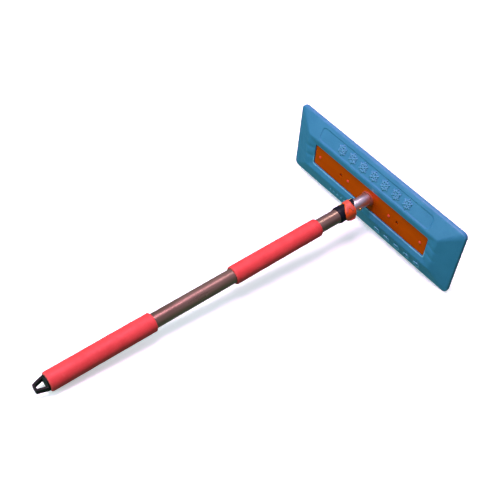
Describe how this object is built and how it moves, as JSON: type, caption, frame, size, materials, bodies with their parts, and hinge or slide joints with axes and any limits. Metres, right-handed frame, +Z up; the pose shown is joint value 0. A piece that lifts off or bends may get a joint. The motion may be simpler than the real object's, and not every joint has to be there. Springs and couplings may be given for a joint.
{
  "type": "snow broom",
  "caption": "Foam-headed snow broom on a telescoping pole, with a flip-lever clamp, foam hand grips, a snap-button head joint and a hang loop.",
  "frame": {"origin": "middle of the footprint on the floor, with the tool lying at rest on the long lower edge of its head and the end of its lower grip", "axes": "+Y from the hang loop towards the head, +X along the head, +Z up; the pole slopes down towards the hang loop by 5.04 degrees"},
  "size_m": [0.44, 0.7488, 0.1609],
  "materials": {
    "foam_blue": "moulded closed-cell foam with a fine skin",
    "grip_red": "soft closed-cell foam sleeve",
    "plate_orange": "satin moulded plastic",
    "lever_orange": "satin moulded plastic",
    "collar_black": "satin moulded plastic",
    "cap_black": "satin moulded plastic",
    "pole_bronze": "bronze anodised",
    "tube_silver": "bright drawn",
    "steel": "bright zinc",
    "brass": "bright",
    "nylon": "natural nylon"
  },
  "bodies": {
    "handle": {"outer_tube": "pole_bronze", "clamp_collar": "collar_black", "collar_rivet": "steel", "lever_pin": "brass", "upper_grip": "grip_red", "lower_grip": "grip_red", "end_cap": "cap_black"},
    "lever": {"clamp_lever": "lever_orange"},
    "pad": {"clamp_pad": "nylon"},
    "guide": {"guide_ring": "nylon"},
    "head": {"inner_tube": "tube_silver", "inner_end_plug": "cap_black", "backing_plate": "plate_orange", "foam_head": "foam_blue", "plate_rivet_1": "plate_orange", "plate_rivet_2": "plate_orange", "plate_rivet_3": "plate_orange", "plate_rivet_4": "plate_orange", "snap_spring": "steel"},
    "button": {"snap_button": "brass"}
  },
  "joints": [
    {"name": "lever_hinge", "type": "hinge", "parent": "handle", "child": "lever", "pos_m": [-0.00929, 0.29077, 0.08756], "axis": [0, -0.9961, -0.0879], "range_deg": [0, 120]},
    {"name": "pad_press", "type": "slide", "parent": "handle", "child": "pad", "axis": [-0.5736, -0.072, 0.816], "range_m": [0, 0.0004]},
    {"name": "telescope", "type": "slide", "parent": "handle", "child": "guide", "axis": [0, 0.9961, 0.0879], "range_m": [0, 0.45]},
    {"name": "head_twist", "type": "hinge", "parent": "guide", "child": "head", "pos_m": [0, 0.34573, 0.07909], "axis": [0, 0.9961, 0.0879], "continuous": true},
    {"name": "button_press", "type": "slide", "parent": "head", "child": "button", "axis": [-1, 0, 0], "range_m": [0, 0.003], "stiffness_N_per_m": 2000}
  ],
  "couplings": [
    {"joint": "pad_press", "follows": "lever_hinge", "m_per_rad": 0.00019}
  ]
}
